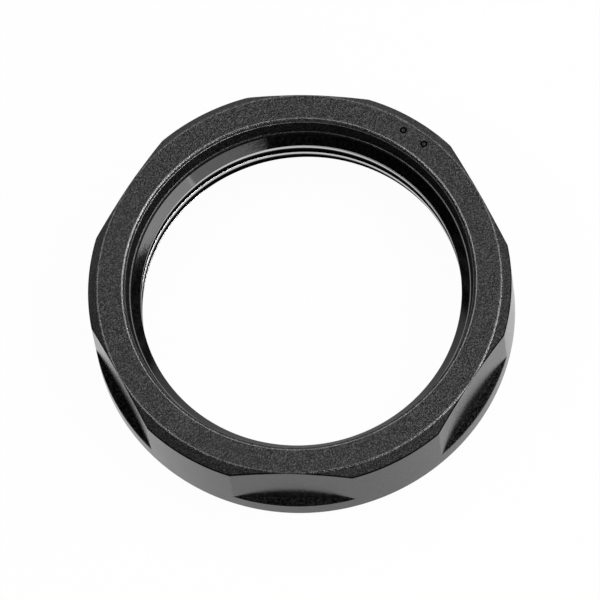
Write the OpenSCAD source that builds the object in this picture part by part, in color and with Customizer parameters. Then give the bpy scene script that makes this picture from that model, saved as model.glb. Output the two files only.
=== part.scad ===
// Round panel nut with six shallow wrench flats above a full round rim.
// Z points up, the foot stands on z = 0 and the thread's axis is the Z axis.

/* [Body] */
// Wall from the thread's major diameter to the round outside
body_wall = 4; // [3:0.25:8]
// Height from the foot to the top face
body_h = 8.6; // [7:0.1:14]
// Height of the full round rim below the flats
rim_h = 2.1; // [1.2:0.1:4]
// Radius of the foot's outer edge
foot_edge_r = 0.3; // [0.1:0.05:0.8]
// Chamfer round the top face, at 45 degrees
top_chamfer = 0.9; // [0.4:0.05:1.4]

/* [Flats] */
// Number of wrench flats
flat_count = 6; // [4:1:12]
// How far each flat is cut in from the round body
flat_depth = 0.85; // [0.4:0.05:1.3]

/* [Thread] */
// Major diameter of the thread
thread_d = 32; // [16:0.5:63]
// Pitch of the thread
thread_pitch = 1.5; // [0.75:0.25:2]

/* [Mouth] */
// Gap between the mouth's edge and the thread's major diameter, on one side
mouth_gap = 0.7; // [0.5:0.05:1]
// Broken edge round the mouth, at 45 degrees
mouth_edge = 0.25; // [0.1:0.05:0.35]
// Depth of the tapered recess below the top face
recess_depth = 1.7; // [0.8:0.1:2.2]
// Width of the flat step at the foot of the recess
step_w = 0.15; // [0.05:0.05:0.25]
// Height of the plain collar between the step and the lead-in
collar_h = 0.4; // [0.1:0.05:0.8]
// Angle of the lead-in above the thread, from the axis
lead_angle = 42; // [30:1:60]

/* [Foot] */
// Gap between the foot's opening and the thread's major diameter, on one side
foot_gap = 0.7; // [0.3:0.05:0.9]
// Angle of the lead-in below the thread, from the axis
foot_angle = 30; // [30:1:60]

/* [Moulding marks] */
// Outer diameter of each ring-shaped mark in the top face
mark_d = 0.7; // [0.4:0.05:1.2]
// Width of the mark's groove
mark_groove = 0.2; // [0.1:0.05:0.2]
// Depth of the mark's groove
mark_depth = 0.12; // [0.05:0.01:0.3]
// Distance between the two marks, centre to centre
mark_spacing = 2.4; // [1.5:0.1:4]
// Distance from the chamfer's edge in to the marks' centres
mark_inset = 0.9; // [0.6:0.05:1.2]
// Place of the second mark round the nut
mark_angle = 59.5; // [0:0.5:360]

/* [Hidden] */
$fn = 192;
// How far a cutter reaches past the face that it opens
overshoot = 1;
major_r = thread_d / 2;
body_r = major_r + body_wall;
top_face_r = body_r - top_chamfer;
flat_r = body_r - flat_depth;
// The basic metric form cuts 5/8 of the sharp thread's height off the radius
sharp_h = thread_pitch * sqrt(3) / 2;
minor_r = major_r - 5 / 8 * sharp_h;
mouth_r = major_r + mouth_gap;
step_z = body_h - recess_depth;
lead_top_z = step_z - collar_h;
lead_foot_z = lead_top_z - (major_r - minor_r) / tan(lead_angle);
foot_mouth_r = major_r + foot_gap;
entry_z = (foot_mouth_r - minor_r) / tan(foot_angle);
mark_orbit_r = top_face_r - mark_inset;
mark_step = mark_spacing / mark_orbit_r * 180 / PI;

// Half of the nut's section: radius across, height up
module ring_section() {
    difference() {
        polygon([
            [foot_mouth_r, 0],
            [body_r, 0],
            [body_r, body_h - top_chamfer],
            [top_face_r, body_h],
            [mouth_r, body_h],
            [mouth_r - mouth_edge, body_h - mouth_edge],
            [major_r + step_w, step_z],
            [major_r, step_z],
            [major_r, lead_top_z],
            [minor_r, lead_foot_z],
            [minor_r, entry_z]
        ]);
        foot_edge();
    }
}

// What is taken off the section to round the foot's outer edge
module foot_edge() {
    translate([body_r - foot_edge_r, 0])
        difference() {
            translate([0, -overshoot])
                square([foot_edge_r + overshoot, foot_edge_r + overshoot]);
            translate([0, foot_edge_r])
                circle(r = foot_edge_r);
        }
}

// The blocks that cut the wrench flats, down to the ledges on the rim
module flat_cuts() {
    cut_w = 2 * sqrt(body_r * body_r - flat_r * flat_r) + 2 * overshoot;
    for (i = [0 : flat_count - 1])
        rotate(i * 360 / flat_count - 90)
            translate([flat_r, -cut_w / 2, rim_h])
                cube([flat_depth + overshoot, cut_w, body_h - rim_h + overshoot]);
}

// One ring-shaped groove that a mould pin leaves in the top face
module pin_mark() {
    difference() {
        cylinder(h = mark_depth + overshoot, d = mark_d);
        translate([0, 0, -overshoot])
            cylinder(h = mark_depth + 3 * overshoot, d = mark_d - 2 * mark_groove);
    }
}

module pin_marks() {
    for (i = [0 : 1])
        rotate(mark_angle - i * mark_step)
            translate([mark_orbit_r, 0, body_h - mark_depth])
                pin_mark();
}

module nut() {
    color("#2b2b2d")
        difference() {
            rotate_extrude()
                ring_section();
            flat_cuts();
            pin_marks();
        }
}

nut();
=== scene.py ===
"""Looks of the round panel nut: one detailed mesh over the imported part, its materials, floor and light."""

import math

import bmesh
import bpy
import numpy as np
from mathutils import Matrix, Vector


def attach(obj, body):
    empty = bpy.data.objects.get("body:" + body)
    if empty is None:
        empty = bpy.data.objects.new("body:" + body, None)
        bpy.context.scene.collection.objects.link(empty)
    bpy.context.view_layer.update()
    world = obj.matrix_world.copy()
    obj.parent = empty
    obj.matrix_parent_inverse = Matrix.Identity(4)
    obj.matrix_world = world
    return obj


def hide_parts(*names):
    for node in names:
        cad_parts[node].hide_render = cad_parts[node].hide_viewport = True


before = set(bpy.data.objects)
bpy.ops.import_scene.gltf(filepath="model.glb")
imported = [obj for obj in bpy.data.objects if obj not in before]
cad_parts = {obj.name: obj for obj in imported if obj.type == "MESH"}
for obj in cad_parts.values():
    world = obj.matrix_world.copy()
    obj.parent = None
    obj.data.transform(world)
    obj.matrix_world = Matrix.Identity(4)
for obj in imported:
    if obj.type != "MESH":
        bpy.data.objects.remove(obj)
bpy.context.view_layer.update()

# The nut's sizes are in millimetres and degrees, and MM turns them into metres
MM = 0.001

# Driving sizes of the part, as in its source
BODY_WALL = 4.0
BODY_H = 8.6
RIM_H = 2.1
FOOT_EDGE_R = 0.3
TOP_CHAMFER = 0.9
FLAT_COUNT = 6
FLAT_DEPTH = 0.85
FIRST_FLAT = -90.0
THREAD_D = 32.0
PITCH = 1.5
MOUTH_GAP = 0.7
MOUTH_EDGE = 0.25
RECESS_DEPTH = 1.7
STEP_W = 0.15
COLLAR_H = 0.4
LEAD_ANGLE = 42.0
FOOT_GAP = 0.7
FOOT_ANGLE = 30.0
MARK_D = 0.7
MARK_GROOVE = 0.2
MARK_DEPTH = 0.12
MARK_SPACING = 2.4
MARK_INSET = 0.9
MARK_ANGLE = 59.5
MARK_COUNT = 2

# Sizes that follow from them. The metric form takes 5/8 of the sharp thread's height off the radius
MAJOR_R = THREAD_D / 2
SHARP_H = PITCH * math.sqrt(3) / 2
MINOR_R = MAJOR_R - 5 / 8 * SHARP_H
BODY_R = MAJOR_R + BODY_WALL
TOP_FACE_R = BODY_R - TOP_CHAMFER
FLAT_R = BODY_R - FLAT_DEPTH
MOUTH_R = MAJOR_R + MOUTH_GAP
STEP_R = MAJOR_R + STEP_W
STEP_Z = BODY_H - RECESS_DEPTH
LEAD_TOP_Z = STEP_Z - COLLAR_H
LEAD_FOOT_Z = LEAD_TOP_Z - (MAJOR_R - MINOR_R) / math.tan(math.radians(LEAD_ANGLE))
FOOT_MOUTH_R = MAJOR_R + FOOT_GAP
ENTRY_Z = (FOOT_MOUTH_R - MINOR_R) / math.tan(math.radians(FOOT_ANGLE))
MARK_ORBIT_R = TOP_FACE_R - MARK_INSET
MARK_STEP = math.degrees(MARK_SPACING / MARK_ORBIT_R)

# Radius of each soft edge that only the looks have
RIM_EDGE_R = 0.07
LEDGE_ROOT_R = 0.05
CHAMFER_FOOT_R = 0.3
CHAMFER_TOP_R = 0.22
MOUTH_TOP_R = 0.22
MOUTH_FOOT_R = 0.08
STEP_EDGE_R = 0.04
LEAD_EDGE_R = 0.06
FOOT_MOUTH_EDGE_R = 0.1

# Each soft edge is an arc of this many steps and takes no more than a share of the stretches beside it
ARC_STEPS = 4
ARC_REACH = 0.45
# Shorter stretches and smaller turns than these have no arc
NO_LENGTH = 1e-9
NO_TURN = 1e-6
# A straight stretch gets a point this far from each end, at most this share of it, so it is three strips
HOLD = 0.04
HOLD_SHARE = 0.2
HELD_STRIPS = 3
# The section closes this far outside the foot's opening, and the cone's direction is taken over this run
FOOT_SEAM = 0.4
CONE_RUN = 0.35
# Points closer than this are one
MERGE = 0.0005

# Columns of the mesh on each half of a flat and of the round beside it, and those close to their corner
FLAT_STEPS = 20
ROUND_STEPS = 16
CORNER_REACH = 0.5
CORNER_OFFSETS = (-0.5, -0.3, -0.15, 0.0, 0.15, 0.3)
# The flat goes over into the round within about this length
CORNER_BLEND = 0.006

# The thread's groove: where its centre is at one place round the bore, its widths and its soft edges
GROOVE_ANGLE = 101.5
GROOVE_Z = 4.37
GROOVE_HALF_W = 0.4
GROOVE_ROOT_HALF_W = 0.05
CREST_SLOPE = 0.04
CREST_TOP_R = 0.12
SHOULDER_R = 0.05
ROOT_R = 0.03
# The lowest part of each crest, which takes the groove's look with its painted shade
CREST_PAINTED_SHADE = 0.26
# Going up from that place, the groove runs out between these angles
FADE_FROM = 145.0
FADE_TO = 178.0
THREAD_TOP_Z = 5.5
THREAD_FOOT_Z = 1.2
ROWS_PER_PITCH = 20
ROW_GAP = 0.02

# Steps of a moulding mark's groove, along it and across it
MARK_STEPS = 40
MARK_SIDES = 14

# Faces that meet at more than this angle have a sharp edge between them
SHARP_ANGLE = 25.0

# Looks of the one plastic by where it is on the nut, as lit and shaded copies of it. Grain and roughness are
# the surface's own. The darker colour on the chamfer, ledge, recess, step, lead, groove and mark faces is
# painted shade, with a low reflection level on all of them but the step. The raised reflection level on the
# edge, mouth, step and crest faces is painted highlight, with a raised index on all of them but the step.
# Grain and its depth are in millimetres, speck is the tone added to its high spots, index is the refractive
# one and upright below 1 draws the grain out upward
BLACK = (0.010, 0.010, 0.0105)
# A darker black than the plastic's own, put on some zones as painted shade
PAINTED_SHADE_BLACK = (0.004, 0.004, 0.0042)
LOOKS = {
    "top": dict(colour=BLACK, gloss_and_painted_light=0.5, roughness=0.5, grain=0.15, depth=0.26, speck=0.08),
    "chamfer": dict(colour=PAINTED_SHADE_BLACK, gloss_and_painted_light=0.14, roughness=0.45, grain=0.15, depth=0.22, speck=0.045),
    "edge": dict(colour=BLACK, gloss_and_painted_light=1.0, roughness=0.2, grain=0.17, depth=0.05, speck=0.08, index=1.65),
    "mouth": dict(colour=BLACK, gloss_and_painted_light=1.0, roughness=0.2, grain=0.17, depth=0.05, speck=0.05, index=1.9),
    "side": dict(colour=BLACK, gloss_and_painted_light=0.3, roughness=0.2, grain=0.2, depth=0.02, speck=0.004, upright=0.3),
    "ledge": dict(colour=PAINTED_SHADE_BLACK, gloss_and_painted_light=0.05, roughness=0.6, grain=0.17, depth=0.2, speck=0.03),
    "recess": dict(colour=PAINTED_SHADE_BLACK, gloss_and_painted_light=0.01, roughness=0.6, grain=0.17, depth=0.2, speck=0.012),
    "step": dict(colour=PAINTED_SHADE_BLACK, gloss_and_painted_light=1.0, roughness=0.2, grain=0.2, depth=0.02, speck=0.01),
    "lead": dict(colour=PAINTED_SHADE_BLACK, gloss_and_painted_light=0.15, roughness=0.08, grain=0.3, depth=0.003, speck=0.002, upright=0.3),
    "crest": dict(colour=BLACK, gloss_and_painted_light=1.0, roughness=0.1, grain=0.3, depth=0.003, speck=0.002, index=3.2),
    "groove": dict(colour=PAINTED_SHADE_BLACK, gloss_and_painted_light=0.01, roughness=0.3, grain=0.3, depth=0.003, speck=0.0),
    "mark": dict(colour=PAINTED_SHADE_BLACK, gloss_and_painted_light=0.02, roughness=0.6, grain=0.3, depth=0.003, speck=0.0),
}
FINISHES_AND_PAINTED_LIGHT = tuple(LOOKS)
PLAIN_INDEX = 1.5

# The grain's noise and where it is dark and light, and the larger cloud that makes the roughness uneven
GRAIN_DETAIL = 3.0
GRAIN_ROUGHNESS = 0.6
PIT_AT = 0.45
PIT_TONE = 0.4
SPECK_AT = 0.65
CLOUD_SIZE = 2.5
CLOUD_DETAIL = 2.0
CLOUD_LOW = 0.3
CLOUD_HIGH = 0.7
UNEVENNESS = 0.1

# The floor in metres, and the share of it that glows white where it is seen or mirrored
FLOOR_SIZE = 6.0
FLOOR_DROP = 0.01 * MM
FLOOR_TONE = 0.9
FLOOR_GLOW_SHARE = 0.97
# Strength of the white that the camera sees, and of the light that the room itself gives
WHITE = 1.0
ROOM_LIGHT = 0.0

# How far the photograph's view is turned about the upright axis
VIEW_TURN = 11.491

# Lamps by where they are in that view: azimuth 0 is to the right and 90 is away. Sizes are metres
LAMP_DISTANCE = 0.7
LAMPS = (
    dict(name="back_panel", azimuth=90, elevation=65, width=0.7, height=0.45, radiance=2.1),
    dict(name="right_panel", azimuth=-8, elevation=50, width=0.6, height=0.1, radiance=10.5),
    dict(name="right_low_panel", azimuth=-20, elevation=10.5, width=0.65, height=0.17, radiance=14.0),
    dict(name="front_right_panel", azimuth=-65, elevation=10.5, width=0.51, height=0.17, radiance=8.0),
    dict(name="left_panel", azimuth=180, elevation=45, width=0.35, height=0.12, radiance=7.0),
)

# The camera at the photograph's angle and distance, in metres apart from the lens and the sensor
CAMERA_DISTANCE = 1.0697
CAMERA_LENS = 681.9
CAMERA_SENSOR = 36.0
CAMERA_ELEVATION = 68.412
CAMERA_ROLL = -9.712
CAMERA_NEAR = 0.05
CAMERA_FAR = 20.0
SIDE_STEP = 0.1 * MM
UP_STEP = -1.596 * MM


def softened(points):
    """A polyline of (radius, height, edge radius) with an arc of ARC_STEPS + 1 points at each corner."""
    out = [points[0][:2]]
    for before, here, after in zip(points, points[1:], points[2:]):
        corner = np.array(here[:2])
        back = np.array(before[:2]) - corner
        ahead = np.array(after[:2]) - corner
        back_len = np.linalg.norm(back)
        ahead_len = np.linalg.norm(ahead)
        if back_len < NO_LENGTH or ahead_len < NO_LENGTH:
            out += [tuple(corner)] * (ARC_STEPS + 1)
            continue
        back = back / back_len
        ahead = ahead / ahead_len
        turn = math.pi - math.acos(max(-1.0, min(1.0, float(back @ ahead))))
        reach = min(here[2] * math.tan(turn / 2), ARC_REACH * back_len, ARC_REACH * ahead_len)
        if turn < NO_TURN or reach < NO_TURN:
            out += [tuple(corner)] * (ARC_STEPS + 1)
            continue
        radius = reach / math.tan(turn / 2)
        middle = back + ahead
        centre = corner + middle / np.linalg.norm(middle) * radius / math.cos(turn / 2)
        first = corner + back * reach - centre
        last = corner + ahead * reach - centre
        for i in range(ARC_STEPS + 1):
            t = i / ARC_STEPS
            spot = (math.sin((1 - t) * turn) * first + math.sin(t * turn) * last) / math.sin(turn)
            out.append(tuple(centre + spot))
    out.append(points[-1][:2])
    return out


def held(points):
    """A softened polyline with two more points on each straight stretch, so that its shading stays flat."""
    out = [points[0]]
    for i in range(0, len(points) - 1, ARC_STEPS + 1):
        start = np.array(points[i])
        end = np.array(points[i + 1])
        length = float(np.linalg.norm(end - start))
        share = min(HOLD / length, HOLD_SHARE) if length > NO_LENGTH else 0.0
        out.append(tuple(start + share * (end - start)))
        out.append(tuple(end - share * (end - start)))
        out += points[i + 1 : i + 2 + ARC_STEPS]
    return out


def column_places():
    """Angles round the nut, closer together at the flats' ends, and the body's radius at each."""
    half_flat = math.degrees(math.acos(FLAT_R / BODY_R))
    sector = 360 / FLAT_COUNT
    half = list(np.linspace(0, half_flat - CORNER_REACH, FLAT_STEPS, endpoint=False))
    half += [half_flat + offset for offset in CORNER_OFFSETS]
    half += list(np.linspace(half_flat + CORNER_REACH, sector / 2, ROUND_STEPS, endpoint=False))
    one = sorted([-a for a in half[1:]] + half + [sector / 2])
    places = []
    for i in range(FLAT_COUNT):
        places += [(FIRST_FLAT + i * sector + a, a) for a in one]
    places.append((places[0][0] + 360, places[0][1]))
    out = []
    for angle, from_flat in places:
        on_line = FLAT_R / math.cos(math.radians(from_flat))
        lower = min(BODY_R, on_line)
        gap = abs(BODY_R - on_line)
        out.append((angle, lower - CORNER_BLEND * math.exp(-gap / CORNER_BLEND)))
    return out


def shell_profile(flat_r):
    """The section from the foot's face round the outside to the top of the thread."""
    section = [
        (FOOT_MOUTH_R + FOOT_SEAM, 0.0, 0.0),
        (BODY_R, 0.0, FOOT_EDGE_R),
        (BODY_R, RIM_H, RIM_EDGE_R),
        (flat_r, RIM_H, LEDGE_ROOT_R),
        (flat_r, BODY_H - (flat_r - TOP_FACE_R), CHAMFER_FOOT_R),
        (TOP_FACE_R, BODY_H, CHAMFER_TOP_R),
        (MOUTH_R, BODY_H, MOUTH_TOP_R),
        (MOUTH_R - MOUTH_EDGE, BODY_H - MOUTH_EDGE, MOUTH_FOOT_R),
        (STEP_R, STEP_Z, STEP_EDGE_R),
        (MAJOR_R, STEP_Z, STEP_EDGE_R),
        (MAJOR_R, LEAD_TOP_Z, LEAD_EDGE_R),
        (MINOR_R, LEAD_FOOT_Z, LEAD_EDGE_R),
        (MINOR_R, THREAD_TOP_Z, 0.0),
    ]
    return held(softened(section))


def shell_finish_and_light():
    """The look of each strip of the shell: each straight stretch and the soft edge after it."""
    # Looks with painted shade: the ledge, chamfers, recess, collar, lead-in and the chamfer's foot
    stretches = (
        # Looks with painted highlight: the chamfer's top edge, the mouth's edges, the step and the crest
        ("side", "side"),
        ("side", "side"),
        ("ledge", "ledge"),
        ("side", "groove"),
        ("chamfer", "edge"),
        ("top", "mouth"),
        ("chamfer", "mouth"),
        ("recess", "step"),
        ("step", "recess"),
        ("recess", "recess"),
        ("lead", "lead"),
    )
    out = []
    for straight, edge in stretches:
        out += [straight] * HELD_STRIPS + [edge] * ARC_STEPS
    return out + ["crest"] * HELD_STRIPS


def groove_profile():
    """Heights from the groove's centre and the radii there, over one pitch of the thread."""
    section = softened(
        [
            (MINOR_R + CREST_SLOPE / 2, -PITCH / 2, 0.0),
            (MINOR_R, -GROOVE_HALF_W, CREST_TOP_R),
            (MAJOR_R, -GROOVE_ROOT_HALF_W, ROOT_R),
            (MAJOR_R, GROOVE_ROOT_HALF_W, ROOT_R),
            (MINOR_R + CREST_SLOPE, GROOVE_HALF_W, SHOULDER_R),
            (MINOR_R + CREST_SLOPE / 2, PITCH / 2, 0.0),
        ]
    )
    heights = np.array([p[1] for p in section])
    radii = np.array([p[0] for p in section])
    return heights, radii


def thread_rows(heights):
    """Row offsets from the groove's centre: the groove's own points and an even spacing between them."""
    rows = list(heights[1:-1])
    for even in np.arange(ROWS_PER_PITCH) * PITCH / ROWS_PER_PITCH - PITCH / 2:
        if min(abs(even - r) for r in rows) > ROW_GAP:
            rows.append(even)
    return np.array(sorted(rows))


def thread_columns(places):
    """Each column's thread points from the top down, in rows along the helix, and each row's look."""
    heights, radii = groove_profile()
    offsets = thread_rows(heights)
    first = places[0][0]
    base_z = GROOVE_Z + PITCH * (first - GROOVE_ANGLE) / 360
    low_turn = math.floor((THREAD_FOOT_Z - PITCH - base_z) / PITCH) - 1
    high_turn = math.ceil((THREAD_TOP_Z - base_z) / PITCH) + 1
    rows = [(turn, off) for turn in range(low_turn, high_turn + 1) for off in offsets]
    stretches = ((ENTRY_Z, THREAD_TOP_Z), (THREAD_FOOT_Z, ENTRY_Z))
    columns = []
    for angle, _ in places:
        rise = PITCH * (angle - first) / 360
        column = []
        for low, high in stretches:
            for turn, off in reversed(rows):
                own_z = base_z + rise + turn * PITCH + off
                z = min(max(own_z, low), high)
                column.append((thread_radius(angle, z, heights, radii), z))
        columns.append(column)
    row_finish_and_light = []
    # Crest rows get a painted highlight; groove rows and each crest's lowest part get painted shade
    for _, off in reversed(rows):
        on_crest = off > GROOVE_HALF_W + CREST_PAINTED_SHADE or off < -GROOVE_HALF_W
        row_finish_and_light.append("crest" if on_crest else "groove")
    return columns, row_finish_and_light * len(stretches)


def thread_radius(angle, z, heights, radii):
    """The bore's radius at one place: the groove, or the cone below the thread where that is wider."""
    centre_z = GROOVE_Z + PITCH * (angle - GROOVE_ANGLE) / 360
    turns = round((z - centre_z) / PITCH)
    off = z - centre_z - turns * PITCH
    depth = float(np.interp(off, heights, radii)) - MINOR_R
    along = (angle - GROOVE_ANGLE) + 360 * turns
    left = min(max((FADE_TO - along) / (FADE_TO - FADE_FROM), 0.0), 1.0)
    depth *= left * left * (3 - 2 * left)
    cone = FOOT_MOUTH_R - z * (FOOT_MOUTH_R - MINOR_R) / ENTRY_Z
    return max(MINOR_R + depth, cone)


def foot_edge_profile():
    """The soft edge from the cone to the foot's face."""
    section = softened(
        [
            (FOOT_MOUTH_R - CONE_RUN, CONE_RUN / math.tan(math.radians(FOOT_ANGLE)), 0.0),
            (FOOT_MOUTH_R, 0.0, FOOT_MOUTH_EDGE_R),
            (FOOT_MOUTH_R + FOOT_SEAM, 0.0, 0.0),
        ]
    )
    return section[1:-1]


def painted_mesh(name, work, paints):
    """A mesh with the material of every look, made from a bmesh in metres, which is then freed."""
    mesh = bpy.data.meshes.new(name)
    for paint in paints:
        mesh.materials.append(paint)
    work.to_mesh(mesh)
    work.free()
    return mesh


def nut_mesh(paints):
    """The whole nut without its marks: one closed section at each column, joined to the next."""
    places = column_places()
    threads, thread_finish_and_light = thread_columns(places)
    foot_edge = foot_edge_profile()
    work = bmesh.new()
    columns = []
    for (angle, flat_r), thread in zip(places, threads):
        section = shell_profile(flat_r) + thread + foot_edge
        turn = math.radians(angle)
        columns.append([work.verts.new((r * math.cos(turn), r * math.sin(turn), z)) for r, z in section])
    count = len(columns[0])
    strips = shell_finish_and_light() + thread_finish_and_light
    strips += ["lead"] * (count - len(strips))
    for here, there in zip(columns, columns[1:]):
        for j in range(count):
            k = (j + 1) % count
            face = work.faces.new((here[j], there[j], there[k], here[k]))
            face.material_index = FINISHES_AND_PAINTED_LIGHT.index(strips[j])
            face.smooth = True
    bmesh.ops.remove_doubles(work, verts=work.verts, dist=MERGE)
    bmesh.ops.recalc_face_normals(work, faces=work.faces)
    bmesh.ops.scale(work, vec=(MM, MM, MM), verts=work.verts)
    return painted_mesh("nut_looks", work, paints)


def mark_cutter(angle, paints):
    """A small ring whose lower half is the groove of one moulding mark."""
    half_groove = MARK_GROOVE / 2
    ring = MARK_D / 2 - half_groove
    place = math.radians(angle)
    centre = Vector((MARK_ORBIT_R * math.cos(place), MARK_ORBIT_R * math.sin(place), BODY_H))
    work = bmesh.new()
    loops = []
    for i in range(MARK_STEPS):
        a = 2 * math.pi * i / MARK_STEPS
        loop = []
        for j in range(MARK_SIDES):
            b = 2 * math.pi * (j + 0.5) / MARK_SIDES
            r = ring + half_groove * math.cos(b)
            spot = centre + Vector((r * math.cos(a), r * math.sin(a), MARK_DEPTH * math.sin(b)))
            loop.append(work.verts.new(spot * MM))
        loops.append(loop)
    for i in range(MARK_STEPS):
        here = loops[i]
        there = loops[(i + 1) % MARK_STEPS]
        for j in range(MARK_SIDES):
            k = (j + 1) % MARK_SIDES
            face = work.faces.new((here[j], there[j], there[k], here[k]))
            # The mark's groove takes a look with painted shade in it
            face.material_index = FINISHES_AND_PAINTED_LIGHT.index("mark")
    bmesh.ops.recalc_face_normals(work, faces=work.faces)
    cutter = bpy.data.objects.new("mark_cutter", painted_mesh("mark_cutter", work, paints))
    bpy.context.scene.collection.objects.link(cutter)
    return cutter


def cut_marks(piece, paints):
    """Cuts the moulding marks into the top face."""
    for i in range(MARK_COUNT):
        cutter = mark_cutter(MARK_ANGLE - i * MARK_STEP, paints)
        cut = piece.modifiers.new("mark", "BOOLEAN")
        cut.operation = "DIFFERENCE"
        cut.solver = "EXACT"
        cut.object = cutter
        bpy.context.view_layer.update()
        graph = bpy.context.evaluated_depsgraph_get()
        made = bpy.data.meshes.new_from_object(piece.evaluated_get(graph))
        piece.modifiers.clear()
        old = piece.data
        piece.data = made
        bpy.data.meshes.remove(old)
        bpy.data.objects.remove(cutter)


def empty_tree(owner):
    """The nodes and links of a material or world, emptied."""
    owner.use_nodes = True
    owner.node_tree.nodes.clear()
    return owner.node_tree.nodes, owner.node_tree.links


def plastic(name, colour, gloss_and_painted_light, roughness, grain, depth, speck, index=PLAIN_INDEX, upright=1.0):
    """Black moulded plastic: a fine grain in its normal and tone, and a little unevenness in its roughness.
    """
    made = bpy.data.materials.new(name)
    nodes, links = empty_tree(made)
    out = nodes.new("ShaderNodeOutputMaterial")
    shader = nodes.new("ShaderNodeBsdfPrincipled")
    # The index and reflection level: raised, they paint highlights; lowered, they paint shade
    shader.inputs["IOR"].default_value = index
    shader.inputs["Specular IOR Level"].default_value = gloss_and_painted_light
    links.new(shader.outputs["BSDF"], out.inputs["Surface"])

    place = nodes.new("ShaderNodeTexCoord")
    stretch = nodes.new("ShaderNodeMapping")
    stretch.inputs["Scale"].default_value = (1.0, 1.0, upright)
    links.new(place.outputs["Object"], stretch.inputs["Vector"])

    noise = nodes.new("ShaderNodeTexNoise")
    noise.inputs["Scale"].default_value = 1.0 / (grain * MM)
    noise.inputs["Detail"].default_value = GRAIN_DETAIL
    noise.inputs["Roughness"].default_value = GRAIN_ROUGHNESS
    links.new(stretch.outputs["Vector"], noise.inputs["Vector"])

    cloud = nodes.new("ShaderNodeTexNoise")
    cloud.inputs["Scale"].default_value = 1.0 / (CLOUD_SIZE * MM)
    cloud.inputs["Detail"].default_value = CLOUD_DETAIL
    links.new(place.outputs["Object"], cloud.inputs["Vector"])

    uneven = nodes.new("ShaderNodeMapRange")
    uneven.inputs["From Min"].default_value = CLOUD_LOW
    uneven.inputs["From Max"].default_value = CLOUD_HIGH
    uneven.inputs["To Min"].default_value = roughness * (1 - UNEVENNESS)
    uneven.inputs["To Max"].default_value = roughness * (1 + UNEVENNESS)
    links.new(cloud.outputs["Fac"], uneven.inputs["Value"])
    links.new(uneven.outputs["Result"], shader.inputs["Roughness"])

    # The zone's colour, with random pits and specks; the darker black of some zones is painted shade
    tone = nodes.new("ShaderNodeValToRGB")
    pit, top = tone.color_ramp.elements
    pit.position = PIT_AT
    pit.color = (*[PIT_TONE * c for c in colour], 1.0)
    top.position = SPECK_AT
    top.color = (*[c + speck for c in colour], 1.0)
    links.new(noise.outputs["Fac"], tone.inputs["Fac"])
    links.new(tone.outputs["Color"], shader.inputs["Base Color"])

    bump = nodes.new("ShaderNodeBump")
    bump.inputs["Strength"].default_value = 1.0
    bump.inputs["Distance"].default_value = depth * MM
    links.new(noise.outputs["Fac"], bump.inputs["Height"])
    links.new(bump.outputs["Normal"], shader.inputs["Normal"])
    return made


def build_nut():
    """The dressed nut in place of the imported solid."""
    # One material for each look; some paint shade and others highlights
    paints = [plastic("plastic_" + finish_and_light, **LOOKS[finish_and_light]) for finish_and_light in FINISHES_AND_PAINTED_LIGHT]
    nut = bpy.data.objects.new("nut_body", nut_mesh(paints))
    bpy.context.scene.collection.objects.link(nut)
    cut_marks(nut, paints)
    nut.data.set_sharp_from_angle(angle=math.radians(SHARP_ANGLE))
    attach(nut, "root")
    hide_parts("nut")


def floor_white():
    """A pale matt floor that glows white where the camera or a mirrored or passing ray meets it."""
    made = bpy.data.materials.new("floor_white")
    nodes, links = empty_tree(made)
    out = nodes.new("ShaderNodeOutputMaterial")
    mix = nodes.new("ShaderNodeMixShader")
    matt = nodes.new("ShaderNodeBsdfDiffuse")
    matt.inputs["Color"].default_value = (FLOOR_TONE, FLOOR_TONE, FLOOR_TONE, 1)
    glow = nodes.new("ShaderNodeEmission")
    glow.inputs["Strength"].default_value = WHITE
    path = nodes.new("ShaderNodeLightPath")
    seen = path.outputs["Is Camera Ray"]
    for ray in ("Is Glossy Ray", "Is Transmission Ray"):
        either = nodes.new("ShaderNodeMath")
        either.operation = "MAXIMUM"
        links.new(seen, either.inputs[0])
        links.new(path.outputs[ray], either.inputs[1])
        seen = either.outputs[0]
    share = nodes.new("ShaderNodeMath")
    share.operation = "MULTIPLY"
    share.inputs[1].default_value = FLOOR_GLOW_SHARE
    links.new(seen, share.inputs[0])
    links.new(share.outputs[0], mix.inputs["Fac"])
    links.new(matt.outputs["BSDF"], mix.inputs[1])
    links.new(glow.outputs["Emission"], mix.inputs[2])
    links.new(mix.outputs["Shader"], out.inputs["Surface"])
    return made


def build_floor():
    """One large square just under the nut's foot."""
    half = FLOOR_SIZE / 2
    corners = [(x, y, -FLOOR_DROP) for x, y in ((-half, -half), (half, -half), (half, half), (-half, half))]
    mesh = bpy.data.meshes.new("floor")
    mesh.from_pydata(corners, [], [(0, 1, 2, 3)])
    mesh.materials.append(floor_white())
    floor = bpy.data.objects.new("floor", mesh)
    bpy.context.scene.collection.objects.link(floor)


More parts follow.
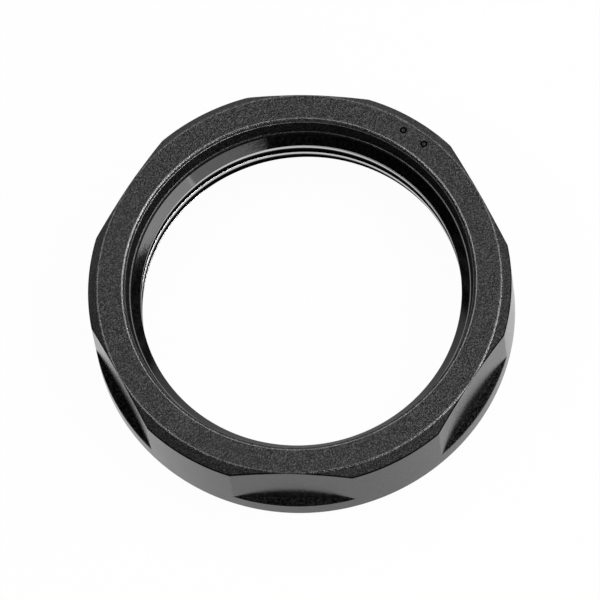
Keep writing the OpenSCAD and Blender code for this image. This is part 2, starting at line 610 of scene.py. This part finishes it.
def panel(name, azimuth, elevation, width, height, radiance):
    """A soft rectangular lamp that faces the nut."""
    lamp = bpy.data.lights.new(name, "AREA")
    lamp.shape = "RECTANGLE"
    lamp.size = width
    lamp.size_y = height
    lamp.energy = radiance * math.pi * width * height
    made = bpy.data.objects.new(name, lamp)
    bpy.context.scene.collection.objects.link(made)
    a = math.radians(azimuth + VIEW_TURN)
    e = math.radians(elevation)
    toward = Vector((math.cos(a) * math.cos(e), math.sin(a) * math.cos(e), math.sin(e)))
    made.location = toward * LAMP_DISTANCE + Vector((0, 0, BODY_H / 2 * MM))
    made.rotation_mode = "QUATERNION"
    made.rotation_quaternion = toward.to_track_quat("Z", "Y")


def build_world():
    """White where the camera looks past the floor, and no light of its own on the nut."""
    world = bpy.data.worlds.new("studio")
    bpy.context.scene.world = world
    nodes, links = empty_tree(world)
    out = nodes.new("ShaderNodeOutputWorld")
    mix = nodes.new("ShaderNodeMixShader")
    path = nodes.new("ShaderNodeLightPath")
    links.new(path.outputs["Is Camera Ray"], mix.inputs["Fac"])
    for socket, strength in ((1, ROOM_LIGHT), (2, WHITE)):
        background = nodes.new("ShaderNodeBackground")
        background.inputs["Color"].default_value = (1, 1, 1, 1)
        background.inputs["Strength"].default_value = strength
        links.new(background.outputs["Background"], mix.inputs[socket])
    links.new(mix.outputs["Shader"], out.inputs["Surface"])


def build_camera():
    """The photograph's camera: it aims near the middle of the top face and is rolled a little."""
    bearing = math.radians(VIEW_TURN - 90)
    lift = math.radians(CAMERA_ELEVATION)
    back = Vector((math.cos(bearing) * math.cos(lift), math.sin(bearing) * math.cos(lift), math.sin(lift)))
    level_right = Vector((-math.sin(bearing), math.cos(bearing), 0))
    level_up = back.cross(level_right)
    roll = math.radians(CAMERA_ROLL)
    right = level_right * math.cos(roll) + level_up * math.sin(roll)
    up = level_up * math.cos(roll) - level_right * math.sin(roll)
    data = bpy.data.cameras.new("camera")
    data.lens = CAMERA_LENS
    data.sensor_width = CAMERA_SENSOR
    data.clip_start = CAMERA_NEAR
    data.clip_end = CAMERA_FAR
    camera = bpy.data.objects.new("camera", data)
    bpy.context.scene.collection.objects.link(camera)
    spot = Vector((0, 0, BODY_H * MM)) + back * CAMERA_DISTANCE + right * SIDE_STEP + up * UP_STEP
    turn = Matrix((right, up, back)).transposed().to_4x4()
    camera.matrix_world = Matrix.Translation(spot) @ turn
    bpy.context.scene.camera = camera


build_nut()
build_floor()
for lamp_values in LAMPS:
    panel(**lamp_values)
build_world()
build_camera()
bpy.context.scene.view_settings.view_transform = "Standard"
